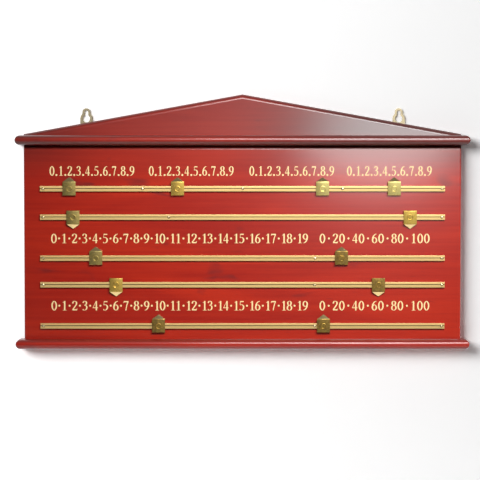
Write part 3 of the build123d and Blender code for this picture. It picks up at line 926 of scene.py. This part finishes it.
@dataclass
class Pointers:
    """The twelve sliding pointers: folded plate, channel shoe and ring-headed rivet."""

    trees: Trees
    shoe_finish: bpy.types.Material
    tongue_finish: bpy.types.Material
    patinas: dict[str, Patina] = field(default_factory=lambda: {
        "1a": OLIVE, "1b": GOLD, "1c": PALE, "1d": PALE, "2a": OLIVE, "2b": GOLD,
        "3a": OLIVE, "3b": BROWN, "4a": GOLD, "4b": BROWN, "5a": BROWN, "5b": BROWN,
    })
    tongue_up_rows: str = "135"
    half_width: float = 11.4
    half_height: float = 11.8
    thickness: float = 1.0
    bend: float = 1.0
    back: float = 5.1
    panel_gap: float = 1.2
    tongue: float = 8.5
    tongue_half: float = 10.7
    shoulder: float = 0.7
    tip_radius: float = 1.3
    ease: float = 0.12
    shoe_half: float = 10.0
    shoe_web: float = 4.3
    shoe_inner: float = 5.2
    shoe_wall: float = 0.8
    shoe_ease: float = 0.06
    lip_front: float = 1.9
    lip_end: float = 4.0
    floor_radius: float = 3.9
    floor_rise: float = 0.05
    crest_rise: float = 0.35
    ring_inside: Point2 = (4.45, 0.45)
    ring_outside: Point2 = (4.5, 0.8)
    ring_edge: float = 5.1
    rivet_shank: float = 2.0
    ring_sides: int = 48

    def build(self) -> None:
        """Builds the three pieces of every pointer on its body."""
        ring = profile("rivet_profile", self._rivet_line())
        for name, patina in self.patinas.items():
            body = f"pointer_{name}"
            low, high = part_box(f"{body}_rivet")
            centre = (low + high) / 2
            turn = 0.0 if name[0] in self.tongue_up_rows else math.pi
            place = Matrix.Translation((centre.x, 0.0, centre.z)) @ Matrix.Rotation(turn, 4, "Y")
            plate = painted(self._plate(), patina.plate_finish(name))
            repaint(plate, self.tongue_finish, lambda face: face.center.z > (self.half_height + self.bend) * MM)
            for kind, mesh in (("plate", plate), ("shoe", painted(self._shoe(), self.shoe_finish))):
                mesh.transform(place)
                show(f"folded_{kind}_{name}", mesh, body, [f"{body}_{kind}"])
            spot = places_mesh([place @ at(0.0, PANEL_FACE, 0.0)], [0.0])
            mesh = self.trees.turned.grow(f"ring_rivet_{name}", spot, Profile=ring, Sides=self.ring_sides,
                                          Slot_Width=0.0, Finish=patina.rivet_finish(name))
            show(f"ring_rivet_{name}", smoothed(mesh), body, [f"{body}_rivet"])

    def _plate(self) -> bpy.types.Mesh:
        """The folded plate at the middle of the board, tongue up."""
        half_sheet, base, top = self.thickness / 2, -self.half_height + self.thickness / 2, self.half_height
        middle = self.back + half_sheet
        lean = (middle - self.panel_gap - half_sheet) / self.tongue
        corners = [(self.panel_gap, base), (middle, base), (middle, top)]
        corners.append((middle - lean * self.tongue, top + self.tongue))
        line = rounded(corners, (self.bend, 2 * self.bend))[:-1]
        stations = [(height, z, self.half_width) for height, z in line if z <= top]
        start = top + self.shoulder
        taper = self.tongue_half / (self.tongue - self.shoulder)
        side = math.atan(taper)
        tip = top + self.tongue - self.tip_radius / math.sin(side)
        steps = [start + (tip - start) * i / 6 for i in range(6)]
        narrowing = [(z, self.tongue_half - (z - start) * taper) for z in steps]
        narrowing += [(z, half) for half, z in arc((0.0, tip), self.tip_radius, 90 - math.degrees(side), 90, 6)]
        stations += [(middle - lean * (z - top), z, half) for z, half in narrowing]
        return skin("folded_plate", self._strip(stations), self.ease)

    def _strip(self, stations: Sequence[tuple[float, float, float]]) -> list[list[Vector]]:
        """Rings round a strip of sheet that follows (height, z, half width) stations."""
        rings = []
        for i, (height, z, half) in enumerate(stations):
            before, after = stations[max(i - 1, 0)], stations[min(i + 1, len(stations) - 1)]
            along = Vector((after[0] - before[0], after[1] - before[1])).normalized()
            out = Vector((along.y, -along.x)) * self.thickness / 2
            front, rear = (height + out.x, z + out.y), (height - out.x, z - out.y)
            ring = [(-half, *front), (half, *front), (half, *rear), (-half, *rear)]
            rings.append([at(x, PANEL_FACE + depth, level) for x, depth, level in ring])
        return rings

    def _shoe(self) -> bpy.types.Mesh:
        """The channel round the rail's flanges."""
        inner, wall, lip = self.shoe_inner, self.shoe_wall, self.lip_front
        upper = arc((self.back - wall, inner), wall, 0, 90, 4) + arc((lip, inner), wall, 90, 180, 4)
        upper += [(lip - wall, self.lip_end), (lip, self.lip_end), (lip, inner), (self.shoe_web, inner)]
        section = [*upper, *((height, -z) for height, z in reversed(upper))]
        rings = [[at(x, PANEL_FACE + height, z) for height, z in section] for x in (-self.shoe_half, self.shoe_half)]
        return skin("shoe", rings, self.shoe_ease)

    def _rivet_line(self) -> list[Point2]:
        """Half the section of the rivet: sunk floor, round ring and shank."""
        front = self.back + self.thickness
        floor, crest, under = front + self.floor_rise, front + self.crest_rise, front - self.floor_rise
        (inside, inner_round), (outside, outer_round) = self.ring_inside, self.ring_outside
        ring = arc((inside, crest), inner_round, 180, 90, 4) + arc((outside, front), outer_round, 80, 0, 6)
        return [(0.0, floor), (self.floor_radius, floor), *ring, (self.ring_edge, under), (self.rivet_shank, under),
                (self.rivet_shank, self.shoe_web), (0.0, self.shoe_web)]


@dataclass
class HangingPlates:
    """The two keyhole plates and their four screws."""

    trees: Trees
    plate_finish: bpy.types.Material
    screw_finish: bpy.types.Material
    plate_half: float = 10.8
    pitch: float = 11.0
    head_top: float = 0.1
    head_radius: float = 2.9
    shank_radius: float = 1.5
    shank_start: float = 1.5
    shank_end: float = 9.0
    point_radius: float = 0.4
    point_end: float = 12.0
    slot_width: float = 0.8
    slot_depth: float = 0.7
    slot_turn: float = 67.0
    sides: int = 24

    def build(self) -> None:
        """Dresses the plates and builds their screws."""
        painted(frame["nodes"]["hanging_plates"].data, self.plate_finish)
        level, plates = level_of("hanger_screws"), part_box("hanging_plates")[1].x / MM - self.plate_half
        across = [side * plates + part * self.pitch / 2 for side in (-1, 1) for part in (-1, 1)]
        places = places_mesh([at(x, 0.0, level) for x in across], [self.slot_turn * i for i in range(len(across))])
        line = profile("profile", [
            (0.0, self.head_top), (self.head_radius, self.head_top), (self.shank_radius, self.shank_start),
            (self.shank_radius, self.shank_end), (self.point_radius, self.point_end), (0.0, self.point_end),
        ])
        mesh = self.trees.turned.grow(
            "plate_screws", places, Profile=line, Sides=self.sides, Slot_Width=self.slot_width * MM,
            Slot_Depth=self.slot_depth * MM, Slot_Level=self.head_top * MM, Finish=self.screw_finish,
        )
        show("plate_screws", smoothed(mesh), BOARD_BODY, ["hanger_screws"])


@dataclass(frozen=True)
class Stroke:
    """One pen stroke of a glyph: the points that it passes, in shares of the digit's height."""

    points: tuple[Point2, ...]
    weight: float = 0.0
    ring: bool = False


@dataclass(frozen=True)
class Line:
    """One line of numerals: its text, left edge and advances in the photograph's pixels, and its shape."""

    text: str
    left: float
    digit_step: float
    dot_step: float
    breadth: float = 1.0
    dot_level: float = 0.5


UNITS = [Line("0.1.2.3.4.5.6.7.8.9", left, digit_step=5.15, dot_step=3.75, breadth=0.87, dot_level=0.07)
         for left in (49.5, 148.9, 249.5, 347.2)]
SCORES = [Line(".".join(str(number) for number in range(20)), 50.8, digit_step=5.6, dot_step=4.72),
          Line("0.20.40.60.80.100", 320.0, digit_step=6.6, dot_step=6.4)]

DIGITS = {
    "0": (Stroke(((0.28, 0.98), (0.08, 0.72), (0.08, 0.28), (0.28, 0.02), (0.48, 0.28), (0.48, 0.72)), ring=True),),
    "1": (Stroke(((0.30, 1.0), (0.30, 0.02)), 0.15), Stroke(((0.10, 0.84), (0.20, 0.88), (0.30, 0.98)), 0.05),
          Stroke(((0.10, 0.02), (0.50, 0.02)), 0.045)),
    "2": (Stroke(((0.06, 0.74), (0.13, 0.92), (0.28, 0.98), (0.45, 0.88), (0.45, 0.66), (0.32, 0.44), (0.06, 0.08))),
          Stroke(((0.04, 0.06), (0.50, 0.06)), 0.12), Stroke(((0.50, 0.02), (0.54, 0.22)), 0.045)),
    "3": (Stroke(((0.07, 0.80), (0.15, 0.94), (0.28, 0.98), (0.42, 0.88), (0.40, 0.66), (0.20, 0.54))),
          Stroke(((0.20, 0.54), (0.38, 0.50), (0.47, 0.32), (0.38, 0.09), (0.20, 0.02), (0.04, 0.07))),
          Stroke(((0.03, 0.08), (0.12, 0.08)), 0.12)),
    "4": (Stroke(((0.39, 1.0), (0.39, 0.0)), 0.14), Stroke(((0.37, 0.98), (0.02, 0.28)), 0.05),
          Stroke(((0.0, 0.28), (0.55, 0.28)), 0.075)),
    "5": (Stroke(((0.13, 0.94), (0.48, 0.94)), 0.11), Stroke(((0.13, 0.96), (0.09, 0.58)), 0.05),
          Stroke(((0.09, 0.58), (0.26, 0.61), (0.43, 0.50), (0.47, 0.30), (0.37, 0.09), (0.20, 0.02), (0.04, 0.07))),
          Stroke(((0.03, 0.08), (0.12, 0.08)), 0.12)),
    "6": (Stroke(((0.28, 0.60), (0.09, 0.44), (0.10, 0.18), (0.28, 0.02), (0.47, 0.17), (0.47, 0.44)), ring=True),
          Stroke(((0.49, 0.98), (0.30, 0.90), (0.13, 0.66), (0.08, 0.38)))),
    "7": (Stroke(((0.05, 0.93), (0.52, 0.93)), 0.13), Stroke(((0.05, 0.98), (0.03, 0.78)), 0.045),
          Stroke(((0.50, 0.94), (0.36, 0.58), (0.24, 0.0)), 0.10)),
    "8": (Stroke(((0.28, 0.98), (0.12, 0.87), (0.13, 0.65), (0.28, 0.55), (0.44, 0.66), (0.44, 0.88)), ring=True),
          Stroke(((0.28, 0.55), (0.09, 0.40), (0.09, 0.14), (0.28, 0.02), (0.48, 0.14), (0.48, 0.41)), ring=True)),
}


@dataclass
class Numerals:
    """The three rows of painted serif numerals; each has its rail, its rise above the rail's middle and its lines."""

    trees: Trees
    paint: bpy.types.Material
    rows: tuple = (("rail_1", 23.0, UNITS), ("rail_3", 26.4, SCORES), ("rail_5", 27.3, SCORES))
    height: float = 16.6
    digit_width: float = 0.56
    thick: float = 0.15
    thin: float = 0.045
    stress: float = 1.6
    proud: float = 0.12
    dot_radius: float = 0.105
    dot_sides: int = 16
    weld: float = 1e-6
    flat_angle: float = 0.01
    scale: float = 1.7594
    middle: float = 242.5

    def build(self) -> None:
        """Builds the glyphs, then the three rows of them."""
        glyphs = bpy.data.collections.new("glyphs")
        for number in range(10):
            glyphs.objects.link(hidden(f"glyph_{number:02d}", self._digit(str(number))))
        glyphs.objects.link(hidden(f"glyph_{DOT_GLYPH}", self._dot()))
        for row, (rail, rise, lines) in enumerate(self.rows):
            name = f"numerals_row_{row + 1}"
            layout = self._layout(lines, level_of(rail) + rise)
            mesh = self.trees.lettered.grow(name, layout, Glyphs=glyphs, Height=self.height, Finish=self.paint)
            show(name, mesh, BOARD_BODY)

    def _layout(self, lines: Sequence[Line], level: float) -> bpy.types.Mesh:
        """Points for the glyphs of some lines at a level, with each one's number and breadth."""
        points, chosen, breadths = [], [], []
        for line in lines:
            x = (line.left - self.middle) * self.scale
            digit_step, dot_step = line.digit_step * self.scale, line.dot_step * self.scale
            gap = (digit_step - self.digit_width * self.height * line.breadth) / 2
            for glyph in line.text:
                if glyph == ".":
                    points.append(at(x + dot_step / 2 - gap, PANEL_FACE, level + line.dot_level * self.height))
                    chosen.append(DOT_GLYPH)
                    breadths.append(1.0)
                    x += dot_step
                else:
                    points.append(at(x, PANEL_FACE, level))
                    chosen.append(int(glyph))
                    breadths.append(line.breadth)
                    x += digit_step
        mesh = points_mesh("numeral_places", points)
        add_numbers(mesh, "glyph", "INT", chosen)
        add_numbers(mesh, "breadth", "FLOAT", breadths)
        return mesh

    def _digit(self, digit: str) -> bpy.types.Mesh:
        """The flat solid of one digit; nine is six upside down."""
        if digit != "9":
            return self._flat(self._quads(DIGITS[digit]))
        return self._flat([[(self.digit_width - x, 1.0 - y) for x, y in quad] for quad in self._quads(DIGITS["6"])])

    def _dot(self) -> bpy.types.Mesh:
        """The flat solid of the round dot."""
        return self._flat([arc((0.0, 0.0), self.dot_radius, 0, 360 - 360 / self.dot_sides, self.dot_sides - 1)])

    def _quads(self, strokes: Sequence[Stroke]) -> list[list[Point2]]:
        """Overlapping four-sided patches along every stroke."""
        quads = []
        for stroke in strokes:
            path = self._smooth(stroke)
            edges = []
            for i, here in enumerate(path):
                before = path[i - 1] if i or stroke.ring else here
                after = path[(i + 1) % len(path)] if i + 1 < len(path) or stroke.ring else here
                along = (Vector(after) - Vector(before)).normalized()
                width = stroke.weight or self.thin + (self.thick - self.thin) * abs(along.y) ** self.stress
                out = Vector((-along.y, along.x)) * width / 2
                edges.append((tuple(Vector(here) + out), tuple(Vector(here) - out)))
            pairs = list(zip(edges, edges[1:]))
            if stroke.ring:
                pairs.append((edges[-1], edges[0]))
            quads += [[first[0], first[1], second[1], second[0]] for first, second in pairs]
        return quads

    @staticmethod
    def _smooth(stroke: Stroke, steps: int = 6) -> list[Point2]:
        """Points of a smooth curve through a stroke's points."""
        points = [Vector(point) for point in stroke.points]
        count = len(points)
        if count == 2:
            return list(stroke.points)
        spans = count if stroke.ring else count - 1
        path = []
        for i in range(spans):
            if stroke.ring:
                a, b, c, d = (points[(i + k) % count] for k in (-1, 0, 1, 2))
            else:
                b, c = points[i], points[i + 1]
                a = points[i - 1] if i else b * 2 - c
                d = points[i + 2] if i + 2 < count else c * 2 - b
            for k in range(steps):
                t = k / steps
                spot = b * 2 + (c - a) * t + (a * 2 - b * 5 + c * 4 - d) * t * t
                spot += (b * 3 - a - c * 3 + d) * t**3
                path.append(tuple(spot / 2))
        return path if stroke.ring else [*path, stroke.points[-1]]

    def _flat(self, patches: Sequence[Sequence[Point2]]) -> bpy.types.Mesh:
        """A thin closed solid over the union of flat patches, one unit high and in front of its own zero."""
        corners, faces = [], []
        for patch in patches:
            faces.append(list(range(len(corners), len(corners) + len(patch))))
            corners += [Vector(point) for point in patch]
        spots, _, triangles, *_, sources = delaunay_2d_cdt(corners, [], faces, 1, self.weld)
        work = bmesh.new()
        verts = [work.verts.new((spot.x * MM, 0.0, spot.y * MM)) for spot in spots]
        for triangle, source in zip(triangles, sources):
            if source:
                work.faces.new([verts[i] for i in triangle])
        loose = [vert for vert in work.verts if not vert.link_faces]
        bmesh.ops.delete(work, geom=loose, context="VERTS")
        bmesh.ops.dissolve_limit(work, angle_limit=self.flat_angle, verts=work.verts, edges=work.edges)
        raised = bmesh.ops.extrude_face_region(work, geom=work.faces[:], use_keep_orig=True)
        lifted = [item for item in raised["geom"] if isinstance(item, bmesh.types.BMVert)]
        bmesh.ops.translate(work, verts=lifted, vec=(0.0, -self.proud * MM, 0.0))
        return closed("glyph", work)


class Linking(Enum):
    """Which pieces a lamp lights."""

    ALL_BUT = "EXCLUDE"
    ONLY = "INCLUDE"


@dataclass(frozen=True)
class SoftBox:
    """An area lamp, hidden from the camera; its place, aim and size in metres."""

    name: str
    place: Colour
    aim: Colour
    size: Point2
    radiance: float
    spread: float = 180.0
    gloss_only: bool = False

    def make(self, pieces: Sequence[bpy.types.Object], linking: Linking) -> None:
        """Makes the lamp.

        Args:
            pieces: The pieces that its light is kept off, or kept to.
            linking: Which of the two.
        """
        data = bpy.data.lights.new(self.name, "AREA")
        data.shape = "ELLIPSE" if self.gloss_only else "RECTANGLE"
        data.size, data.size_y = self.size
        data.energy = self.radiance * self.size[0] * self.size[1] * math.pi
        data.spread = math.radians(self.spread)
        lamp = bpy.data.objects.new(self.name, data)
        bpy.context.scene.collection.objects.link(lamp)
        lamp.location = self.place
        lamp.rotation_euler = (Vector(self.aim) - Vector(self.place)).to_track_quat("-Z", "Y").to_euler()
        lamp.visible_camera = False
        lamp.visible_diffuse = not self.gloss_only
        group = bpy.data.collections.new(f"{self.name}_link")
        for i, piece in enumerate(pieces):
            group.objects.link(piece)
            group.collection_objects[i].light_linking.link_state = linking.value
        lamp.light_linking.receiver_collection = group


@dataclass
class Studio:
    """Wall, floor, lamps and surroundings; none is part of the object."""

    wall_gap: float = 0.8
    opening_half: float = 383.0
    opening_bottom: float = -403.0
    opening_shoulder: float = -33.0
    opening_peak: float = 37.0
    reach: float = 4000.0
    floor_level: float = -760.0
    floor_front: float = 2600.0
    wall_grey: float = 0.80
    wall_white: float = 1.5
    floor_grey: float = 0.45
    floor_white: float = 1.1
    mottle_waves: Colour = (0.7, 0.7, 0.7)
    mottle_share: float = 0.02
    glossy_boards: tuple = ("panel_board", "pediment_board", "top_bullnose", "bottom_bullnose")
    key: SoftBox = SoftBox("right_soft_box", (0.50, -1.45, 0.74), (0.12, 0.0, -0.26), (1.3, 0.5), 5.0, 80.0)
    gloss: SoftBox = SoftBox("gloss_soft_box", (0.45, -1.30, 0.10), (0.30, 0.0, -0.03), (0.52, 0.30), 8.0,
                             gloss_only=True)
    side: SoftBox = SoftBox("left_wall_box", (-2.40, -2.80, 1.20), (0.1, 0.0, -0.2), (3.2, 1.7), 8.0)
    dim_light: float = 0.05
    rear_light: float = 0.7
    dim_shown: float = 0.15
    right_shown: float = 0.3
    below_shown: float = 0.6
    rear_shown: float = 0.9
    ahead_dark: float = 0.9

    def build(self) -> None:
        """Builds the stage, a soft box above, one that only gives gloss, one for the wall alone, and the world."""
        wall = self._wall()
        self._floor()
        boards = [piece for piece in bpy.data.objects if piece.name in self.glossy_boards]
        self.key.make([wall], Linking.ALL_BUT)
        self.gloss.make(boards, Linking.ONLY)
        self.side.make([wall], Linking.ONLY)
        self._world()

    def _pale(self, name: str, grey: float, white: float, see_through_back: bool) -> bpy.types.Material:
        """A pale matt finish that a camera and a mirror see lifted towards white."""
        graph = ShaderGraph(name)
        camera, mirror = graph.rays()
        mottle = graph.noise(self.mottle_waves, 2.0)
        level = (camera + mirror) * (white - grey) + grey + mottle * self.mottle_share
        colour = graph.wire("ShaderNodeCombineColor", {}, {0: level, 1: level, 2: level})
        shader = graph.node("ShaderNodeBsdfDiffuse", {}, {"Color": colour}).outputs[0]
        if see_through_back:
            back = graph.node("ShaderNodeNewGeometry").outputs["Backfacing"]
            clear = graph.node("ShaderNodeBsdfTransparent").outputs[0]
            shader = graph.node("ShaderNodeMixShader", {}, {0: back, 1: shader, 2: clear}).outputs[0]
        graph.node("ShaderNodeOutputMaterial", {}, {"Surface": shader})
        return graph.material

    @staticmethod
    def _set(name: str, points: Sequence[Vector], faces: Sequence[tuple[int, ...]],
             material: bpy.types.Material) -> bpy.types.Object:
        """Puts a flat piece on the stage."""
        mesh = bpy.data.meshes.new(name)
        mesh.from_pydata(list(points), [], faces)
        piece = bpy.data.objects.new(name, painted(mesh, material))
        bpy.context.scene.collection.objects.link(piece)
        return piece

    def _wall(self) -> bpy.types.Object:
        """A wall just behind the board, open where the board covers it, so that light reaches the board's back."""
        half, reach, floor = self.opening_half, self.reach, self.floor_level
        low, shoulder, peak = self.opening_bottom, self.opening_shoulder, self.opening_peak
        outer = [(-reach, floor), (reach, floor), (reach, reach), (0.0, reach), (-reach, reach)]
        inner = [(-half, low), (half, low), (half, shoulder), (0.0, peak), (-half, shoulder)]
        points = [at(x, -self.wall_gap, z) for x, z in outer + inner]
        count = len(outer)
        faces = [(i, (i + 1) % count, count + (i + 1) % count, count + i) for i in range(count)]
        return self._set("wall", points, faces, self._pale("pale_wall", self.wall_grey, self.wall_white, True))

    def _floor(self) -> None:
        """A floor below the view."""
        reach, front = self.reach, self.floor_front
        corners = [(-reach, front), (reach, front), (reach, -reach), (-reach, -reach)]
        self._set("floor", [at(x, y, self.floor_level) for x, y in corners], [(0, 1, 2, 3)],
                  self._pale("pale_floor", self.floor_grey, self.floor_white, False))

    def _world(self) -> None:
        """White for the camera; a dim room for light, and in reflections dark ahead, bright below and behind."""
        world = bpy.data.worlds.new("surroundings")
        world.use_nodes = True
        bpy.context.scene.world = world
        graph = Graph(world.node_tree)
        across, into, up = graph.split(graph.node("ShaderNodeTexCoord").outputs["Generated"])
        camera, mirror = graph.rays()
        behind = into.step(-0.3, 0.3)
        light = self.dim_light + behind * self.rear_light
        ahead = into.step(-0.80, -0.95) * up.step(-0.22, -0.14)
        shown = self.dim_shown + across.step(0.2, 0.8) * self.right_shown + up.step(-0.2, -0.35) * self.below_shown
        shown = (shown + behind * (self.rear_shown - shown)) * (1.0 - ahead * self.ahead_dark)
        level = light + mirror * (shown - light)
        strength = level + camera * (1.0 - level)
        shader = graph.node("ShaderNodeBackground", {}, {"Color": (1.0, 1.0, 1.0), "Strength": strength})
        graph.node("ShaderNodeOutputWorld", {}, {"Surface": shader.outputs[0]})


@dataclass
class Viewpoint:
    """The camera, where the photograph was taken from."""

    aim: Colour = (-4.4, 26.0, -213.6)
    distance: float = 3200.0
    pitch: float = 2.5
    lens: float = 136.4
    sensor: float = 36.0
    nearest: float = 50.0

    def build(self) -> None:
        """Makes the scene's camera."""
        camera = bpy.data.objects.new("camera", bpy.data.cameras.new("camera"))
        camera.data.lens = self.lens
        camera.data.sensor_width = self.sensor
        camera.data.clip_start = self.nearest * MM
        tilt = math.radians(self.pitch)
        back = Vector((0.0, -math.cos(tilt), math.sin(tilt)))
        camera.location = at(*self.aim) + back * self.distance * MM
        camera.rotation_euler = (-back).to_track_quat("-Z", "Y").to_euler()
        bpy.context.scene.collection.objects.link(camera)
        bpy.context.scene.camera = camera


def main() -> None:
    """Builds the scoreboard's pieces, then the stage round them."""
    logging.basicConfig(level=logging.INFO, format="%(name)s: %(message)s")
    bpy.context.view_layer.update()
    bpy.context.scene.view_settings.view_transform = "Standard"
    trees = Trees()
    rail_finish = Brass("rail_brass", (0.95, 0.67, 0.28), (0.68, 0.43, 0.14), 0.1, 0.44, 0.12).make()
    # near-black finish: painted shade for countersinks, the rail groove and the steep sides of screw heads
    recess_finish = Brass("rail_recess_brass", (0.012, 0.006, 0.002), (0.006, 0.003, 0.001), 0.4, 0.30, 0.2).make()
    screw_finish = Brass("screw_brass", (0.93, 0.76, 0.46), (0.60, 0.42, 0.18), 0.2, 0.30).make()
    tongue_finish = Brass("tongue_brass", (0.95, 0.72, 0.34), (0.60, 0.40, 0.14), 0.2, 0.17, 0.2).make()
    shoe_finish = Brass("shoe_brass", (0.62, 0.42, 0.14), (0.45, 0.30, 0.10), 0.5, 0.35).make()
    plate_finish = Brass("plate_brass", (0.46, 0.39, 0.25), (0.28, 0.24, 0.16), 0.4, 0.40).make()
    Boards(RedLacquer().make()).build()
    Rails(trees, rail_finish, recess_finish, screw_finish).build()
    Pointers(trees, shoe_finish, tongue_finish).build()
    HangingPlates(trees, plate_finish, screw_finish).build()
    Numerals(trees, NumeralPaint().make()).build()
    wood = PlainWood().make()
    for node in ("pediment_spline", "panel_spline", "foot_spline"):
        painted(frame["nodes"][node].data, wood)
    Studio().build()
    Viewpoint().build()


if __name__ == "__main__":
    main()
